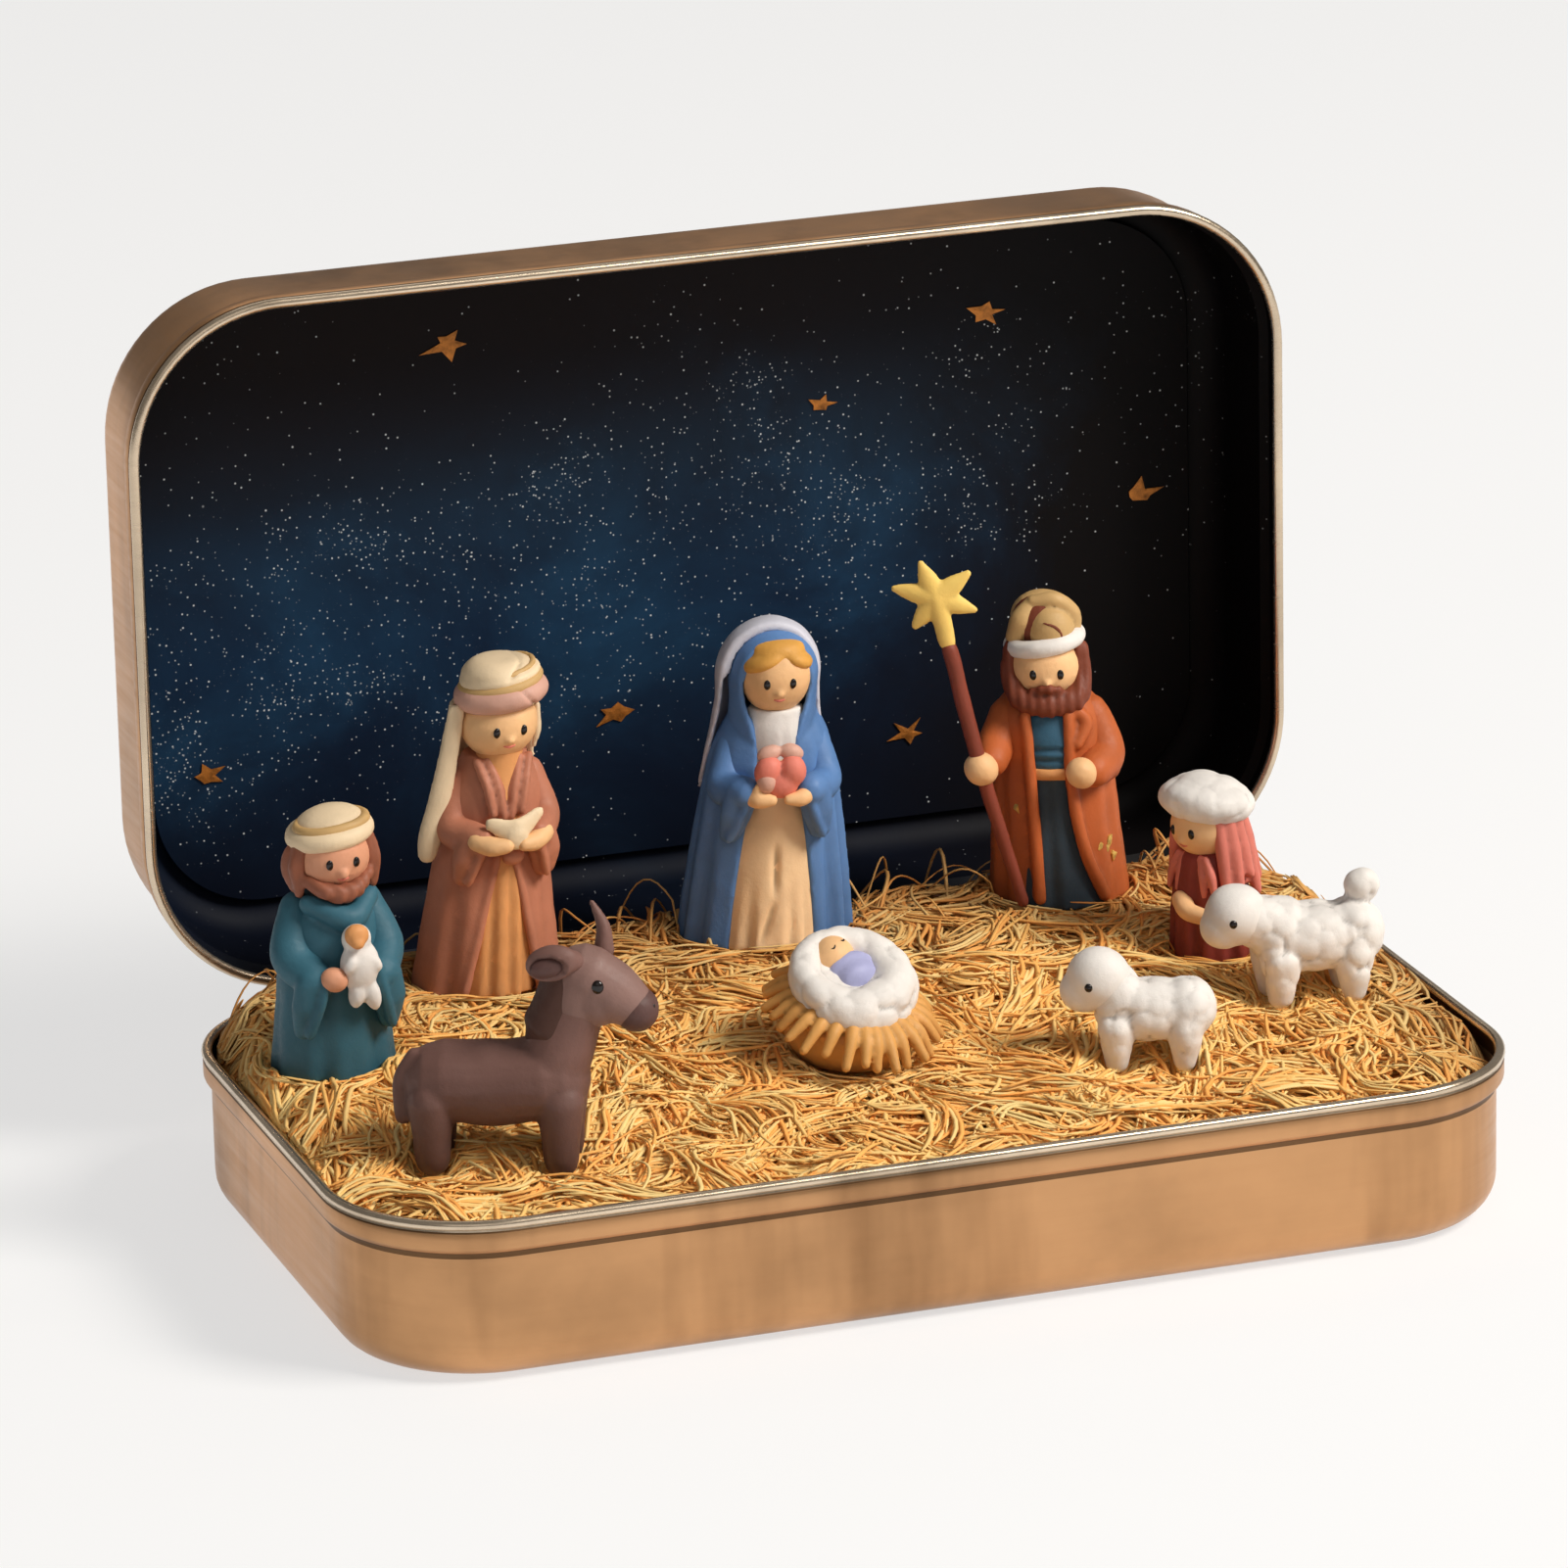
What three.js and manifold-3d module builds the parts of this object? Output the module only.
// A hinged pocket tin opened as a small stage: a drawn tray bedded with straw, a lid that stands upright
// behind it with a night-sky card, and nine clay figures that stand loose in the straw.
// Millimetres, +Z up, +X along the tin's length, -Y towards the viewer.
// The origin is the centre of the tray's flat underside.
import * as THREE from "three";
import { mergeVertices } from "three/addons/utils/BufferGeometryUtils.js";
import Module from "manifold-3d";

const wasm = await Module();
wasm.setup();

// Tin
const TIN_LENGTH = 95;
const TIN_DEPTH = 55.5;
const CORNER_RADIUS = 12.4;
const TRAY_HEIGHT = 13;
const LID_HEIGHT = 12.5;
const SHEET = 0.4;
const BAND_HEIGHT = 2.2;
const BAND_STEP = 0.6;
const BEAD = 0.75;
const EDGE_RADIUS = 3;
const LID_FIT = 0.25;
const OPEN_ANGLE = 90;
const CORNER_STEPS = 5;
const EDGE_STEPS = 3;

// Hinge
const PIN_RADIUS = 0.45;
const PIN_PLAY = 0.25;
const KNUCKLE_WALL = 0.45;
const KNUCKLE_LENGTH = 6;
const KNUCKLE_COUNT = 5;
const KNUCKLE_SPACE = 0.5;
const PIN_SIDES = 12;

// Sky card and straw bed
const CARD = 0.5;
const GLUE_LINE = 0.2;
const BED_WALL_GAP = 0.3;
const BED_MIDDLE = 14.2;
const BED_SLOPE = 0.11;
const BED_EDGE_DROP = 1.6;
const BED_EDGE_WIDTH = 6;
const FOOT_SINK = 0.9;
const FOOT_GAP = 0.3;

// Clay
const CLAY_GAP = 0.25;
const SIDES = 12;
const BALL_SIDES = 10;
const SMALL_BALL_SIDES = 7;
const SMALL_BALL = 2.65;
const ROLL_SIDES = 6;

const rad = THREE.MathUtils.degToRad;
const v3 = (x, y, z) => new THREE.Vector3(x, y, z);

// Values worked out from the sizes above
const trayBandInset = SHEET + LID_FIT;
const trayWallInset = trayBandInset + BAND_STEP;
const lidRimHeight = TRAY_HEIGHT - BAND_HEIGHT;
const knuckleRadius = PIN_RADIUS + PIN_PLAY + KNUCKLE_WALL;
const hingeY = TIN_DEPTH / 2 + knuckleRadius + PIN_PLAY;
const hingeZ = TRAY_HEIGHT - BAND_HEIGHT / 2;
const knucklePitch = KNUCKLE_LENGTH + KNUCKLE_SPACE;
const hingeLength = KNUCKLE_COUNT * knucklePitch - KNUCKLE_SPACE;

// A closed skin over a stack of rings that have the same number of points, capped at both ends.
function skin(rings) {
  const count = rings[0].length;
  const centre = (ring) => ring.reduce((sum, p) => sum.add(p), v3(0, 0, 0)).divideScalar(count);
  const points = [...rings.flat(), centre(rings[0]), centre(rings.at(-1))];
  const first = rings.length * count;
  const last = first + 1;
  const top = (rings.length - 1) * count;
  const index = [];
  for (let j = 0; j < count; j++) {
    const k = (j + 1) % count;
    index.push(first, k, j, last, top + j, top + k);
    for (let i = 0; i < rings.length - 1; i++) {
      const low = i * count;
      const high = low + count;
      index.push(low + j, low + k, high + k, low + j, high + k, high + j);
    }
  }
  return new THREE.BufferGeometry().setFromPoints(points).setIndex(index);
}

// A geometry as a solid that can be joined and cut.
function solidOf(geometry) {
  const bare = geometry.clone();
  bare.deleteAttribute("normal");
  bare.deleteAttribute("uv");
  const merged = mergeVertices(bare, 1e-4);
  return new wasm.Manifold(
    new wasm.Mesh({
      numProp: 3,
      vertProperties: merged.attributes.position.array,
      triVerts: new Uint32Array(merged.index.array),
    }),
  );
}

// The solid's surface as a geometry for a mesh.
function surfaceOf(solid) {
  const mesh = solid.getMesh();
  return new THREE.BufferGeometry()
    .setAttribute("position", new THREE.BufferAttribute(mesh.vertProperties, 3))
    .setIndex(new THREE.BufferAttribute(mesh.triVerts, 1));
}

function named(name, geometry, material) {
  const mesh = new THREE.Mesh(geometry, material);
  mesh.name = name;
  return mesh;
}

const finish = (color, roughness, metalness = 0) =>
  new THREE.MeshStandardMaterial({ color, roughness, metalness });
const TINPLATE = finish(0xb98a55, 0.34, 1);
const PIN_STEEL = finish(0x9a9a98, 0.4, 1);
const SKY = finish(0x10203c, 0.55);
const STRAW = finish(0xdba552, 0.85);
const clay = (color) => finish(color, 0.62);
const CREAM = clay(0xe8d5b0);
const SKIN = clay(0xe9b98a);
const WOOL = clay(0xf1ece6);
const BROWN_HAIR = clay(0x7a4630);

// A rectangle with round corners, inset from the tin's outline, at one height.
function tinRing(inset, z) {
  const halfX = TIN_LENGTH / 2 - inset;
  const halfY = TIN_DEPTH / 2 - inset;
  const radius = Math.max(CORNER_RADIUS - inset, 0.1);
  const ring = [];
  for (let corner = 0; corner < 4; corner++) {
    const sx = corner === 0 || corner === 3 ? 1 : -1;
    const sy = corner < 2 ? 1 : -1;
    for (let step = 0; step <= CORNER_STEPS; step++) {
      const angle = (corner + step / CORNER_STEPS) * (Math.PI / 2);
      const x = sx * (halfX - radius) + radius * Math.cos(angle);
      const y = sy * (halfY - radius) + radius * Math.sin(angle);
      ring.push(v3(x, y, z));
    }
  }
  return ring;
}

// The drawn edge between a flat panel and a wall: [inset, height above the panel] from panel to wall.
function drawnEdge(wallInset, radius) {
  const edge = [];
  for (let step = 0; step <= EDGE_STEPS; step++) {
    const angle = (step / EDGE_STEPS) * (Math.PI / 2);
    edge.push([wallInset + radius * (1 - Math.sin(angle)), radius * (1 - Math.cos(angle))]);
  }
  return edge;
}

// A drawn pan: panel at the bottom, a wall that steps out to the rim band, and a rolled bead at the rim.
function drawnPan(height, bandInset, bandStep) {
  const wallInset = bandInset + bandStep;
  const shoulder = height - BAND_HEIGHT;
  const innerShoulder = shoulder + SHEET / 2;
  const section = [
    ...drawnEdge(wallInset, EDGE_RADIUS),
    [wallInset, shoulder - bandStep],
    [bandInset, shoulder],
    [bandInset, height - BEAD],
    [bandInset - BEAD * 0.12, height - BEAD * 0.55],
    [bandInset, height - BEAD * 0.15],
    [bandInset + BEAD * 0.35, height],
    [bandInset + BEAD * 0.7, height - BEAD * 0.1],
    [bandInset + BEAD, height - BEAD * 0.45],
    [bandInset + BEAD * 0.85, height - BEAD * 0.85],
    [bandInset + SHEET, height - BEAD * 1.1],
    [bandInset + SHEET, innerShoulder],
    [wallInset + SHEET, innerShoulder - bandStep],
    ...drawnEdge(wallInset + SHEET, EDGE_RADIUS - SHEET)
      .reverse()
      .map(([inset, z]) => [inset, z + SHEET]),
  ];
  return skin(section.map(([inset, z]) => tinRing(inset, z)));
}

// A box from its low corner to its high corner.
function block(low, high) {
  const box = new THREE.BoxGeometry(high.x - low.x, high.y - low.y, high.z - low.z);
  box.translate((low.x + high.x) / 2, (low.y + high.y) / 2, (low.z + high.z) / 2);
  return solidOf(box);
}

// A round bar along the hinge axis.
function hingeBar(radius, fromX, toX) {
  const bar = new THREE.CylinderGeometry(radius, radius, toX - fromX, PIN_SIDES);
  bar.rotateZ(Math.PI / 2);
  bar.translate((fromX + toX) / 2, hingeY, hingeZ);
  return solidOf(bar);
}

// The span along X of each knuckle that belongs to the tray (even places) or to the lid (odd places).
function knuckleSpans(remainder) {
  const spans = [];
  for (let place = remainder; place < KNUCKLE_COUNT; place += 2) {
    const low = -hingeLength / 2 + place * knucklePitch;
    spans.push([low, low + KNUCKLE_LENGTH]);
  }
  return spans;
}

// One rolled knuckle: a curl of sheet round the pin and the tab that joins it to the wall.
function knuckle([low, high], wallY, tabLow) {
  const curl = hingeBar(knuckleRadius, low, high);
  const tab = block(v3(low, wallY, tabLow), v3(high, hingeY, tabLow + KNUCKLE_WALL));
  const bore = hingeBar(PIN_RADIUS + PIN_PLAY, low - 1, high + 1);
  return curl.add(tab).subtract(bore);
}

// Tray: the pan, with its knuckles curled from the back wall below the pin.
function makeTray() {
  let tray = solidOf(drawnPan(TRAY_HEIGHT, trayBandInset, BAND_STEP));
  const wallY = TIN_DEPTH / 2 - trayWallInset - SHEET / 2;
  for (const span of knuckleSpans(0)) tray = tray.add(knuckle(span, wallY, hingeZ - knuckleRadius));
  return tray;
}

// Lid in its closed place: the pan upside down, its knuckles curled above the pin, and a notch in the
// band for each of the tray's tabs.
function makeLid() {
  const pan = drawnPan(LID_HEIGHT, 0, BAND_STEP);
  pan.rotateX(Math.PI);
  pan.translate(0, 0, lidRimHeight + LID_HEIGHT);
  let lid = solidOf(pan);
  const wallY = TIN_DEPTH / 2 - SHEET / 2;
  const tabLow = hingeZ + knuckleRadius - KNUCKLE_WALL;
  for (const span of knuckleSpans(1)) lid = lid.add(knuckle(span, wallY, tabLow));
  const notchTop = hingeZ - knuckleRadius + KNUCKLE_WALL + KNUCKLE_SPACE;
  for (const [low, high] of knuckleSpans(0)) {
    const notchLow = v3(low - KNUCKLE_SPACE, TIN_DEPTH / 2 - 2 * BEAD, lidRimHeight - 1);
    lid = lid.subtract(block(notchLow, v3(high + KNUCKLE_SPACE, hingeY, notchTop)));
  }
  return lid;
}

// Sky card: a flat sheet glued inside the lid's panel, in the lid's closed place.
function makeSkyCard() {
  const inset = BAND_STEP + EDGE_RADIUS;
  const top = lidRimHeight + LID_HEIGHT - SHEET - GLUE_LINE;
  return skin([tinRing(inset, top - CARD), tinRing(inset, top)]);
}

// Where each figure stands: the sides of the tin that it keeps to (-1 left or front, 0 middle, 1 right or
// back), how far it stands from there, the turn of its front about the vertical, its scale, and how far it
// leans to its side and to its back for each mm of height.
const PLACES = {
  mother: { side: [0, 1], x: 0, y: -7.85, turn: -12, size: 0.97, leanX: 0.06, leanY: 0 },
  father: { side: [0, 1], x: -23.7, y: -9.95, turn: 2, size: 0.97, leanX: 0.075, leanY: 0 },
  star_bearer: { side: [0, 1], x: 24.9, y: -7.75, turn: -20, size: 0.98, leanX: -0.045, leanY: 0 },
  teal_shepherd: { side: [-1, 1], x: 8.3, y: -20.65, turn: 3, size: 0.97, leanX: 0.015, leanY: 0 },
  young_shepherd: { side: [1, 0], x: -14.9, y: 6.2, turn: -66, size: 0.97, leanX: 0, leanY: -0.07 },
  cradle: { side: [0, 0], x: -1.6, y: -4.6, turn: 33, size: 1.05, leanX: 0, leanY: 0 },
  donkey: { side: [-1, -1], x: 14.9, y: 14.25, turn: -24, size: 1, leanX: 0, leanY: 0 },
  near_sheep: { side: [0, -1], x: 20, y: 15.75, turn: 162, size: 1, leanX: 0, leanY: 0 },
  far_sheep: { side: [1, 0], x: -11.1, y: -4.6, turn: 174, size: 1, leanX: 0, leanY: 0 },
};
const standsAt = ({ side, x, y }) => [(side[0] * TIN_LENGTH) / 2 + x, (side[1] * TIN_DEPTH) / 2 + y];
// The footprint that each figure presses into the straw: half length and half width, before its turn.
const FOOTPRINTS = {
  mother: [7.5, 5.6],
  father: [6.5, 5.5],
  star_bearer: [6, 5.1],
  teal_shepherd: [5.2, 4.6],
  young_shepherd: [3.9, 3.8],
  cradle: [5.2, 5.7],
  donkey: [9, 5],
  near_sheep: [5.4, 3.7],
  far_sheep: [6.2, 4.3],
};

// Height of the straw: heaped towards the back and falling away at the walls.
function bedHeight(x, y) {
  const wallX = TIN_LENGTH / 2 - trayWallInset - SHEET;
  const wallY = TIN_DEPTH / 2 - trayWallInset - SHEET;
  const toWall = Math.min(wallX - Math.abs(x), wallY - Math.abs(y));
  const edge = 1 - THREE.MathUtils.smoothstep(toWall, 0, BED_EDGE_WIDTH);
  return BED_MIDDLE + BED_SLOPE * y - BED_EDGE_DROP * edge;
}
const seatHeight = (place) => BED_MIDDLE + BED_SLOPE * standsAt(place)[1] - FOOT_SINK;

// Straw bed: one soft block that fills the tray, with a flat pressed seat under each figure.
function makeBed() {
  const TOP_RINGS = 4;
  const wall = trayWallInset + SHEET + BED_WALL_GAP;
  const floor = SHEET + BED_WALL_GAP;
  const rings = drawnEdge(wall, EDGE_RADIUS).map(([inset, z]) => tinRing(inset, z + floor));
  const reach = (TIN_DEPTH / 2 - wall) * 0.94;
  for (let k = 0; k <= TOP_RINGS; k++) {
    const ring = tinRing(wall + (reach * k) / TOP_RINGS, 0);
    rings.push(ring.map((p) => v3(p.x, p.y, bedHeight(p.x, p.y))));
  }
  let bed = solidOf(skin(rings));
  for (const [figureName, place] of Object.entries(PLACES)) {
    const [halfX, halfY] = FOOTPRINTS[figureName];
    const seat = new THREE.CylinderGeometry(1, 1, TRAY_HEIGHT, SIDES);
    seat.rotateX(Math.PI / 2);
    seat.scale(halfX, halfY, 1);
    seat.rotateZ(rad(place.turn));
    seat.translate(...standsAt(place), seatHeight(place) + TRAY_HEIGHT / 2);
    bed = bed.subtract(solidOf(seat));
  }
  return bed;
}

// Clay shapes. Each is a function of "grow", the room that a neighbour leaves round the shape.
// A ball with three radii, leant about X and tilted about Y.
const ball = (centre, radii, tilt = 0, lean = 0) => (grow) => {
  const sides = Math.max(...radii) < SMALL_BALL ? SMALL_BALL_SIDES : BALL_SIDES;
  const sphere = new THREE.SphereGeometry(1, sides, sides * 0.6);
  sphere.rotateX(Math.PI / 2);
  sphere.scale(radii[0] + grow, radii[1] + grow, radii[2] + grow);
  sphere.rotateX(rad(lean)).rotateY(rad(tilt));
  return sphere.translate(...centre);
};

// A turned body: a profile of [radius, height], its depth as a share of its width, its middle in Y, and
// soft folds that deepen towards the hem.
const turned = (profile, depth = 1, y = 0, folds = 0, foldDepth = 0) => (grow) => {
  const height = profile.at(-1)[1];
  const rings = profile.map(([radius, z], i) => {
    const rise = i === 0 ? -grow : i === profile.length - 1 ? grow : 0;
    return Array.from({ length: SIDES }, (_, j) => {
      const angle = (j / SIDES) * 2 * Math.PI;
      const fold = 1 + foldDepth * (1 - z / height) * Math.cos(folds * angle);
      const r = radius * fold + grow;
      return v3(r * Math.cos(angle), y + (radius * fold * depth + grow) * Math.sin(angle), z + rise);
    });
  });
  return skin(rings);
};

// A rolled length of clay along a smooth curve, with radii spread along it and round ends.
const roll = (points, radii) => (grow) => {
  const curve = new THREE.CatmullRomCurve3(points.map((p) => v3(...p)));
  const steps = 3 * points.length - 5;
  const { normals, binormals } = curve.computeFrenetFrames(steps);
  const ringAt = (i, radius, shift) => {
    const t = i / steps;
    const middle = curve.getPointAt(t).addScaledVector(curve.getTangentAt(t), shift);
    return Array.from({ length: ROLL_SIDES }, (_, j) => {
      const angle = (j / ROLL_SIDES) * 2 * Math.PI;
      const out = normals[i].clone().multiplyScalar(Math.cos(angle));
      out.addScaledVector(binormals[i], Math.sin(angle));
      return middle.clone().addScaledVector(out, radius);
    });
  };
  const radiusAt = (i) => {
    const along = (i / steps) * (radii.length - 1);
    const at = Math.min(Math.floor(along), radii.length - 2);
    return THREE.MathUtils.lerp(radii[at], radii[at + 1], along - at) + grow;
  };
  const rings = Array.from({ length: steps + 1 }, (_, i) => ringAt(i, radiusAt(i), 0));
  const start = radiusAt(0);
  const end = radiusAt(steps);
  rings.unshift(ringAt(0, start * 0.6, -start * 0.7));
  rings.push(ringAt(steps, end * 0.6, end * 0.7));
  return skin(rings);
};

// A star of rolled points that leave its middle across Y: [direction in degrees, length] for each.
const star = ([x, y, z], points, thick) =>
  points.map(([direction, length]) => {
    const tip = length - thick;
    const end = [x + tip * Math.cos(rad(direction)), y, z + tip * Math.sin(rad(direction))];
    return roll([[x, y, z], end], [1.4 * thick, thick]);
  });

// A slab, as long as the tin, that takes away the front of a wrapped cloth up to a plane across Y.
const frontSlab = (upToY) => () =>
  new THREE.BoxGeometry(TIN_LENGTH, TIN_LENGTH, TIN_LENGTH).translate(0, upToY - TIN_LENGTH / 2, 0);

const joined = (shapes, grow) =>
  shapes.map((shape) => solidOf(shape(grow))).reduce((all, one) => all.add(one));
const largest = (solid) => solid.decompose().reduce((a, b) => (b.volume() > a.volume() ? b : a));
const piece = (part, material, shapes, open = []) => ({ part, material, shapes, open });
const pair = (make) => [make(-1, "left"), make(1, "right")];

// A figure from its clay pieces in the order that they are pressed on. Each piece is cut to the ones before
// it, so that it lies on them with the clay gap; the shapes in "open" are cut away from it as well.
function figure(name, pieces) {
  const place = PLACES[name];
  const group = new THREE.Group();
  group.position.set(...standsAt(place), seatHeight(place) + FOOT_GAP);
  group.rotation.z = rad(place.turn);
  group.scale.setScalar(place.size);
  const lean = new THREE.Matrix4().makeShear(0, 0, 0, 0, place.leanX, place.leanY);
  let pressed = null;
  for (const { part, material, shapes, open } of pieces) {
    let solid = joined(shapes, 0);
    if (open.length) solid = solid.subtract(joined(open, 0));
    if (pressed) solid = solid.subtract(pressed);
    const room = joined(shapes, CLAY_GAP);
    pressed = pressed ? pressed.add(room) : room;
    group.add(named(`${name}_${part}`, surfaceOf(largest(solid)).applyMatrix4(lean), material));
  }
  return group;
}

// Mother: cream dress, blue cloak with a hood, pale veil, and hands that hold a heart.
function makeMother() {
  const BLUE = clay(0x4f7fb8);
  const gown = [[4.9, 0], [4.5, 4], [3.8, 9], [3.1, 13], [2.5, 17], [1.6, 19]];
  const wrap = [[7.1, 0], [6.7, 4], [6.1, 9], [5.4, 13.4], [4.7, 16.4], [3.5, 18.6]];
  const parting = [[3.9, -1], [3.4, 5], [2.6, 10], [2, 14], [1.3, 18.6]];
  const drape = [[6.2, 9.6], [5.9, 13], [5, 16.5], [4.2, 19.5]];
  const sleeve = (side) => [[side * 3.3, -0.4, 16.2], [side * 4, -2.2, 13.2], [side * 2.5, -5, 13.3]];
  const cuff = (side) => roll([[side * 3, -4.6, 13], [side * 3.5, -3.9, 10.2]], [1.2, 0.7]);
  const lobe = (side) => ball([side, -5.6, 15.4], [1.15, 1, 1.25]);
  const palm = (side) => ball([side * 1.4, -5.9, 13.2], [1, 0.9, 0.8]);
  return figure("mother", [
    piece("dress", CREAM, [turned(gown, 0.9, -0.9, 6, 0.04)]),
    piece("head", SKIN, [ball([0, -0.9, 21.9], [2.95, 2.9, 3.1])]),
    piece(
      "cloak",
      BLUE,
      [turned(wrap, 0.74, 0.3, 6, 0.03), ball([-0.1, 0.1, 21.8], [3.65, 3.55, 3.9])],
      [turned(parting, 1.5, -5.4), ball([0.1, -4.2, 21.9], [2.95, 3.2, 3.2])],
    ),
    piece(
      "veil",
      clay(0xb9c3cf),
      [turned(drape, 0.88, 0.4), ball([-0.5, 0.5, 21.9], [4.25, 3.95, 4.5])],
      [frontSlab(-0.4)],
    ),
    ...pair((side, hand) =>
      piece(`${hand}_sleeve`, BLUE, [roll(sleeve(side), [1.3, 1.5, 1.4]), cuff(side)]),
    ),
    piece("heart", clay(0xd98379), [lobe(-1), lobe(1), ball([0, -5.5, 14.2], [1.5, 1, 1.3])]),
    piece("hands", SKIN, [palm(-1), palm(1), ball([0, -6, 12.9], [1.1, 0.8, 0.6])]),
  ]);
}

// Father: brown robe over a tan tunic, cream head cloth under a rolled band, and a scroll in both hands.
function makeFather() {
  const ROBE = clay(0xa06a50);
  const tunic = [[3.8, 0], [3.5, 5], [3, 11], [2.6, 15], [1.8, 18]];
  const robe = [[6.1, 0], [5.5, 4.5], [4.8, 9.5], [4.3, 13], [3.8, 16.4], [2.6, 19.2]];
  const parting = [[3.5, -1], [2.7, 5], [1.5, 10], [0.4, 12.2]];
  const cloth = [[4.6, 13], [4.4, 16], [4, 19], [3.6, 23]];
  const flap = [[-3.6, -0.6, 22.6], [-4.7, -0.9, 17], [-5.6, -1, 11.8]];
  const cap = [[2.6, 24.8], [3.2, 25.3], [3.1, 26], [2.1, 26.8], [0.8, 27]];
  const scroll = [[-1.6, -5.1, 14.2], [0.2, -5.4, 14.2], [1.9, -5.1, 14.8]];
  const sleeve = (side) => [[side * 2.9, 0, 17], [side * 3.8, -1.2, 13.6], [side * 2.3, -4.2, 13]];
  const cuff = (side) => roll([[side * 2.9, -3.8, 12.7], [side * 3.5, -3.2, 9.8]], [1.1, 0.6]);
  const palm = (side) => ball([side * 1.3, -5.3, 12.9], [1.1, 0.9, 0.85]);
  return figure("father", [
    piece("tunic", clay(0xc58a56), [turned(tunic, 0.92, -0.95, 6, 0.04)]),
    piece("head", SKIN, [ball([0, -0.7, 21.6], [3.1, 3, 2.8])]),
    piece("robe", ROBE, [turned(robe, 0.82, 0, 6, 0.03)], [turned(parting, 2, -5.2)]),
    piece("head_cloth", CREAM, [turned(cloth, 0.9, 0.6), roll(flap, [0.7, 0.8, 0.75])], [frontSlab(-1.9)]),
    piece("head_band", clay(0xc79a80), [ball([0.2, -0.3, 24.1], [3.8, 3.65, 1.1], -6)]),
    piece("cap", CREAM, [turned(cap, 0.96, -0.2)]),
    ...pair((side, hand) =>
      piece(`${hand}_sleeve`, ROBE, [roll(sleeve(side), [1.25, 1.45, 1.3]), cuff(side)]),
    ),
    piece("scroll", CREAM, [roll(scroll, [0.65, 0.9, 0.6])]),
    piece("hands", SKIN, [palm(-1), palm(1), ball([0, -5.3, 12.6], [1, 0.7, 0.6])]),
  ]);
}

// Star bearer: rust coat over a slate tunic, full beard, wound turban, and a staff with a star.
function makeStarBearer() {
  const COAT = clay(0xb0592c);
  const GRIP = [-5.7, -5.6, 12.3];
  const STAR = [-8.4, -5.2, 26.5];
  const POINTS = [[38, 3.5], [110, 3.4], [165, 3.7], [231, 3.2], [342, 3.3]];
  const tunic = [[4.4, 0], [3.9, 5], [3.2, 10], [2.8, 14], [1.9, 16.6]];
  const coat = [[5.6, 0], [5.3, 4], [5, 9], [4.9, 12.4], [4.5, 15.4], [3, 17.4]];
  const parting = [[2.9, -1], [2.3, 6], [1.7, 11], [1.5, 18]];
  const staff = [[-3, -5.4, 1.6], GRIP, [-7.6, -5.35, 22]];
  const leftSleeve = [[-3.2, -0.4, 15], [-4.3, -2.2, 13.4], [-4.7, -4, 12.7]];
  const rightSleeve = [[3.3, -0.2, 15.2], [4.3, -1.4, 12.2], [3.3, -4, 11.5]];
  return figure("star_bearer", [
    piece("tunic", clay(0x3b4c57), [turned(tunic, 0.9, -0.9, 6, 0.05)]),
    piece("head", SKIN, [ball([0, -0.7, 19.4], [3, 2.9, 2.9])]),
    piece(
      "beard",
      BROWN_HAIR,
      [ball([0, -0.5, 18.6], [3.6, 3.3, 2.9])],
      [ball([0, -3.6, 20], [2.6, 2.4, 1.9])],
    ),
    piece("coat", COAT, [turned(coat, 0.84, 0.2, 6, 0.03)], [turned(parting, 2, -5)]),
    piece("turban_roll", WOOL, [ball([0, -0.35, 21.5], [3.4, 3.3, 0.85], -10)]),
    piece("turban", clay(0xa98d58), [ball([0, -0.2, 23], [2.8, 2.7, 2.45])]),
    piece("staff", clay(0x8c4427), [roll(staff, [0.55, 0.62, 0.62])]),
    piece("star", clay(0xe8bf62), [...star(STAR, POINTS, 0.6), roll([[-7.7, -5.3, 22.9], STAR], [0.7, 0.8])]),
    piece("left_hand", SKIN, [ball(GRIP, [1.35, 1.3, 1.35])]),
    piece("right_hand", SKIN, [ball([2.3, -5.2, 11.7], [1.25, 1.2, 1.25])]),
    piece("left_sleeve", COAT, [roll(leftSleeve, [1.6, 1.5, 1.3])]),
    piece("right_sleeve", COAT, [roll(rightSleeve, [1.5, 1.65, 1.35])]),
  ]);
}

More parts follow.
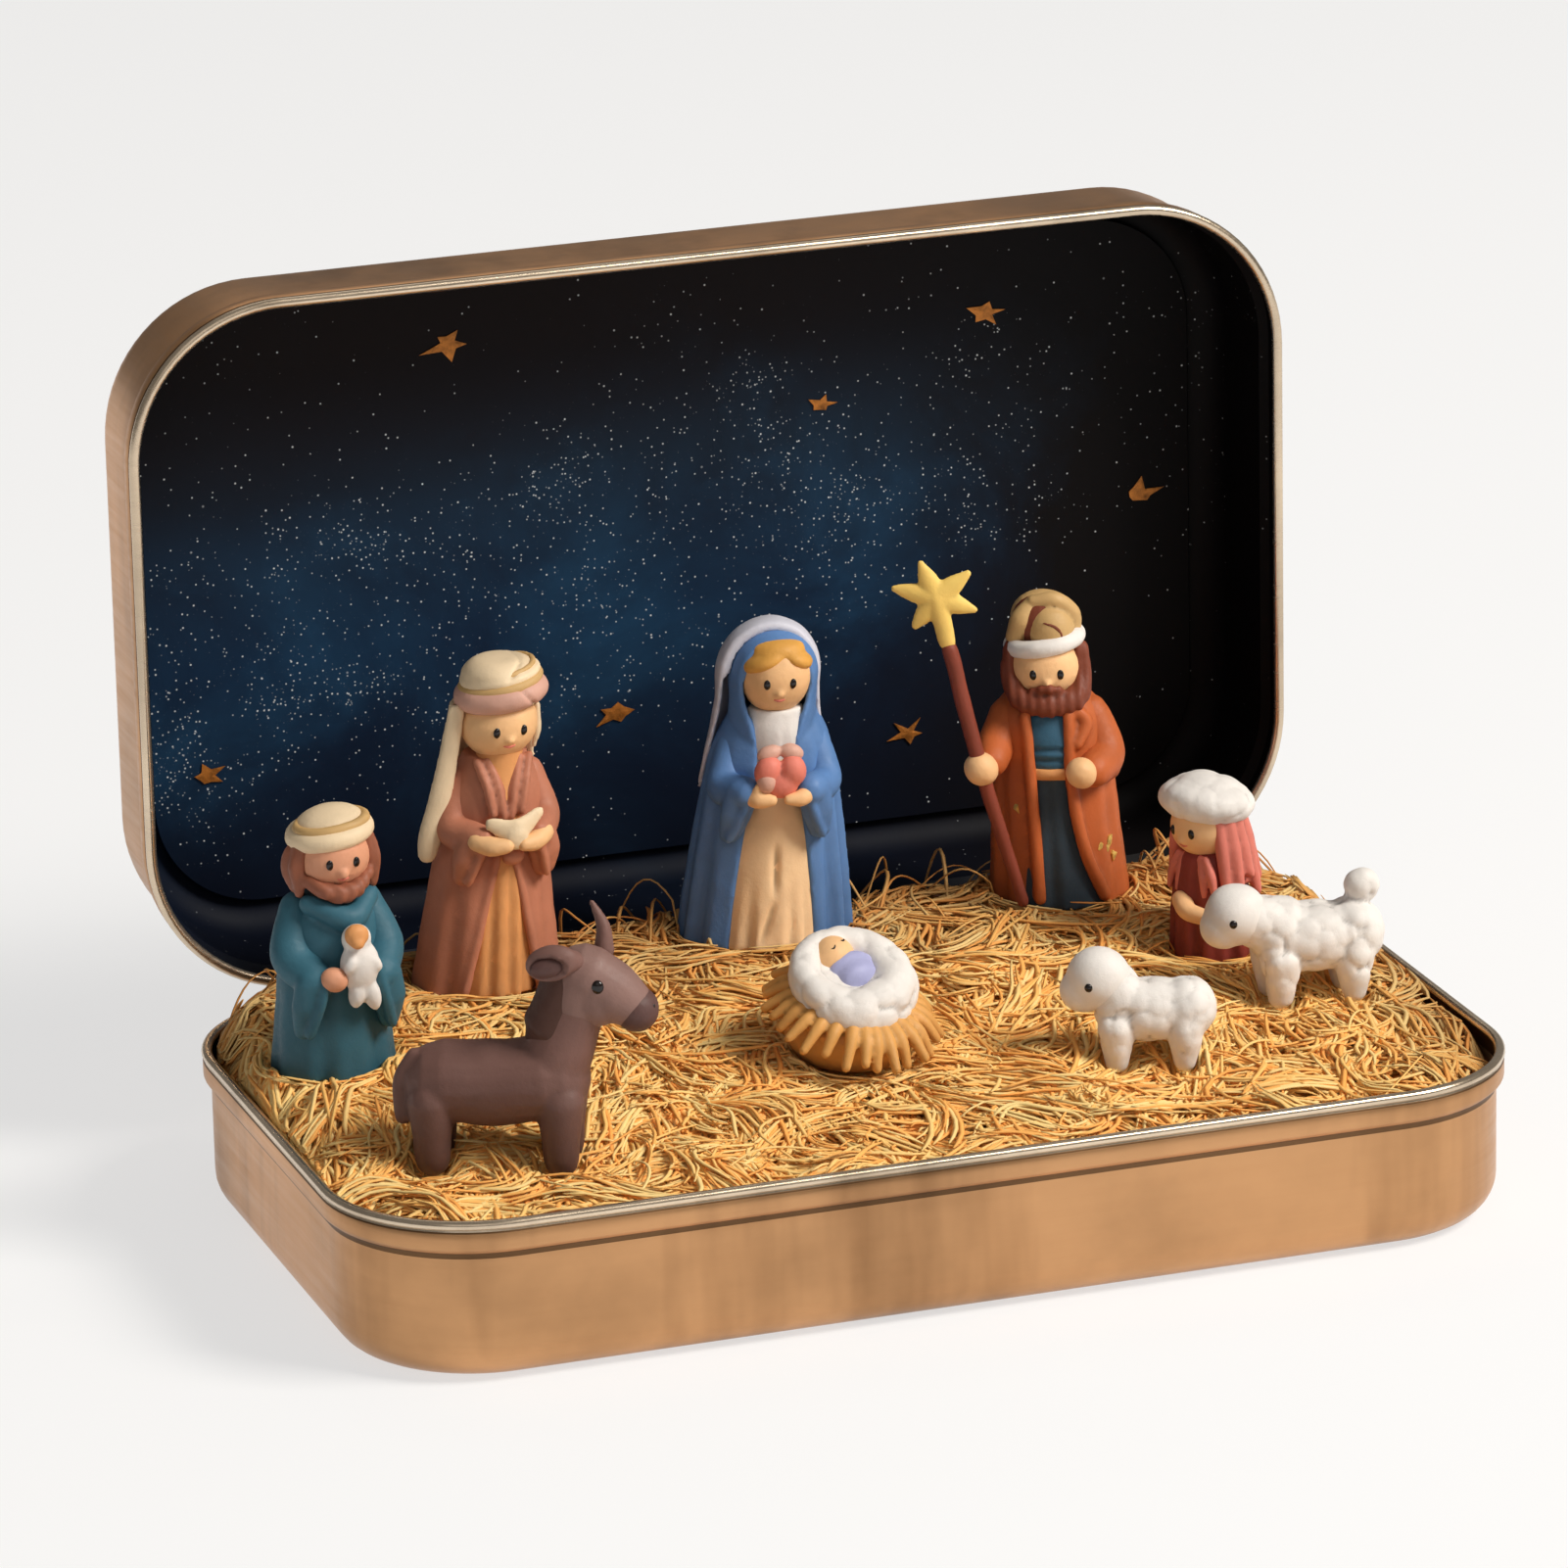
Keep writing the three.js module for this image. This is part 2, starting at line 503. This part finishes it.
// Teal shepherd: a wide-sleeved robe, brown hair and beard, a banded cap, and a lamb held to the chest.
function makeTealShepherd() {
  const TEAL = clay(0x2f7687);
  const robe = [[4.9, 0], [4.7, 2], [4.4, 6], [4.1, 10], [3.5, 12.8], [2.2, 14.2]];
  const sleeve = (side) => [[side * 2.8, 0, 13.2], [side * 3.7, -1.4, 9.8], [side * 2.5, -4, 8.2]];
  const cuff = (side) => roll([[side * 2.9, -3.6, 7.9], [side * 3.4, -3, 4.9]], [1.25, 0.65]);
  return figure("teal_shepherd", [
    piece("robe", TEAL, [turned(robe, 0.88, 0, 6, 0.03)]),
    piece("head", clay(0xd79a76), [ball([0, -0.7, 17.4], [3, 2.9, 2.85])]),
    piece(
      "hair",
      BROWN_HAIR,
      [ball([0, 0.1, 16.8], [3.7, 3.2, 3])],
      [ball([0, -3.4, 18], [2.7, 2.9, 2.9])],
    ),
    piece("cap", CREAM, [
      ball([0, -0.3, 19.7], [3.65, 3.5, 1], -7),
      ball([0.1, -0.2, 20.2], [3.1, 3, 1.25], -7),
    ]),
    ...pair((side, hand) =>
      piece(`${hand}_sleeve`, TEAL, [roll(sleeve(side), [1.3, 1.55, 1.4]), cuff(side)]),
    ),
    piece("lamb", WOOL, [
      ball([0.6, -5, 9.5], [1.5, 1.1, 2.1]),
      ball([0.4, -5.1, 7.4], [0.8, 0.8, 1.3]),
      ball([1.6, -5.1, 7.2], [0.8, 0.8, 1.3]),
      ball([0.4, -5.1, 12], [1.3, 1.2, 1.2]),
    ]),
  ]);
}

// Young shepherd: dark red robe, a long rose shawl from under a woolly cap, and one arm held out.
function makeYoungShepherd() {
  const robe = [[3.5, 0], [3.3, 3], [2.9, 6], [2.4, 8.4], [1.6, 9.2]];
  const shawl = [[3.6, 5.2], [3.6, 7.2], [3.2, 9.4], [3.1, 11.6]];
  const arm = [[-0.4, -3, 4.9], [1.2, -3.9, 4.5], [3, -3.5, 4.2]];
  return figure("young_shepherd", [
    piece("robe", clay(0x7e2b20), [turned(robe, 1, 0, 6, 0.05)]),
    piece("head", SKIN, [ball([0, -0.4, 10.8], [2.7, 2.7, 2.6])]),
    piece("shawl", clay(0xb85f4e), [turned(shawl, 0.98, 0.5, 6, 0.08)], [ball([0, -3.8, 10.4], [2.7, 3, 7])]),
    piece("cap", WOOL, [ball([0, 0.1, 13.1], [4.05, 3.95, 2], 0, -8)]),
    piece("arm", SKIN, [roll(arm, [0.8, 0.85, 0.9])]),
  ]);
}

// Cradle: a straw bowl with a flared skirt, and a swaddled infant in the hollow of a fleece. Skirt and
// fleece lean towards the foot end.
function makeCradle() {
  const OVAL = 1.1;
  const FLEECE_TILT = -13;
  const FLEECE_LEAN = 31;
  const bowl = [[2.6, 0], [3.7, 0.6], [4.5, 1.7], [4.7, 3], [4, 4.6]];
  return figure("cradle", [
    piece("infant_head", SKIN, [ball([0.3, 1.7, 7.6], [1.5, 1.45, 1.4])]),
    piece("swaddle", clay(0x9a9cc8), [ball([0.8, 0.1, 6.8], [1.8, 2, 1.45], FLEECE_TILT, FLEECE_LEAN)]),
    piece(
      "fleece",
      WOOL,
      [ball([0.15, -0.1, 5.9], [4.7, 4.8, 2.1], FLEECE_TILT, FLEECE_LEAN)],
      [ball([0.35, 0.4, 7.8], [2.6, 3, 1.5], FLEECE_TILT, FLEECE_LEAN)],
    ),
    piece("basket", clay(0xc98f45), [
      turned(bowl, OVAL, 0, 6, 0.02),
      ball([0.1, -0.2, 4], [6.3, 6.6, 1.5], -3, 20),
    ]),
  ]);
}

// The four legs under a body that lies along X: radii at the top and at the foot.
function legs(frontX, hindX, spread, top, radii) {
  const foot = radii[1] * 0.8;
  const leg = (x, y) => roll([[x, y, top], [x, y, foot]], radii);
  return [leg(frontX, spread), leg(frontX, -spread), leg(hindX, spread), leg(hindX, -spread)];
}

// Donkey: barrel body on four legs with a hanging tail, neck and long head, and two unlike ears.
function makeDonkey() {
  const HIDE = clay(0x7d6660);
  return figure("donkey", [
    piece("body", HIDE, [
      ball([0, 0, 6.5], [6.4, 3.1, 3.3]),
      ball([-3.7, 0, 6.7], [3.2, 3.2, 3.4]),
      ball([3.8, 0, 6.9], [3.2, 3, 3.6]),
      ...legs(4.9, -4.7, 1.7, 5, [1.6, 1.35]),
      roll([[-6.2, 0, 8.2], [-7.2, 0, 6.6], [-7.1, 0, 4]], [0.8, 0.7, 0.7]),
    ]),
    piece("head", HIDE, [
      roll([[4.4, 0, 9.2], [5.6, 0, 11.6], [6.6, 0, 14.2]], [2.9, 2.6, 2.4]),
      roll([[6.9, 0, 15], [8.9, 0, 13.7], [10.4, 0, 12.6]], [2.5, 2.35, 1.8]),
    ]),
    piece("near_ear", HIDE, [ball([4.7, -2.2, 16.7], [2, 0.95, 1.4], -12)]),
    piece("far_ear", HIDE, [roll([[8.2, 1.2, 17], [8.1, 1.5, 18.6], [7.3, 1.7, 20.2]], [0.75, 0.5, 0.2])]),
  ]);
}

// Sheep: a lumpy fleece on short legs, a round head with a muzzle, and where it has one a bobbed tail.
function makeSheep(name, size, head, muzzle, tail) {
  const lump = (x, y, z, ...radii) => ball([x * size, y * size, z * size], radii.map((r) => r * size));
  const fleece = [
    lump(0, 0, 4.6, 4.5, 2.7, 2.6),
    lump(-2.8, 0, 4.7, 2.4, 2.6, 2.5),
    lump(2.2, 0, 5, 2.4, 2.5, 2.4),
    lump(-1, -1.4, 5.5, 1.9, 1.5, 1.6),
    lump(1, 1.4, 5.5, 1.9, 1.5, 1.6),
  ];
  const bob = tail ? [ball(tail, [1.45, 1.35, 1.45])] : [];
  const stand = legs(2.6 * size, -2.6 * size, 1.3 * size, 3 * size, [1.15 * size, size]);
  return figure(name, [
    piece("body", WOOL, [...fleece, ...stand, ...bob]),
    piece("head", WOOL, [ball(head, [2.6, 2.4, 2.5]), ball(muzzle, [1.7, 1.6, 1.6])]),
  ]);
}

const scene = new THREE.Group();
scene.add(named("base_tray", surfaceOf(makeTray()), TINPLATE));
scene.add(named("straw_bed", surfaceOf(largest(makeBed())), STRAW));
const pin = hingeBar(PIN_RADIUS, -hingeLength / 2, hingeLength / 2);
scene.add(named("hinge_pin", surfaceOf(pin), PIN_STEEL));

// The lid and its card are built closed and swung open about the hinge pin.
const lidSwing = new THREE.Group();
lidSwing.position.set(0, hingeY, hingeZ);
lidSwing.rotation.x = -rad(OPEN_ANGLE);
const closedLid = new THREE.Group();
closedLid.position.set(0, -hingeY, -hingeZ);
closedLid.add(named("lid_shell", surfaceOf(makeLid()), TINPLATE));
closedLid.add(named("sky_card", makeSkyCard(), SKY));
lidSwing.add(closedLid);
scene.add(lidSwing);

scene.add(makeMother(), makeFather(), makeStarBearer(), makeTealShepherd(), makeYoungShepherd());
scene.add(makeCradle(), makeDonkey());
scene.add(makeSheep("near_sheep", 1, [3.9, 0, 7.2], [5.2, 0, 6], null));
scene.add(makeSheep("far_sheep", 1.13, [6.1, 0, 7.5], [7.1, 0, 6.6], [-4, 0, 8.9]));

export default scene;
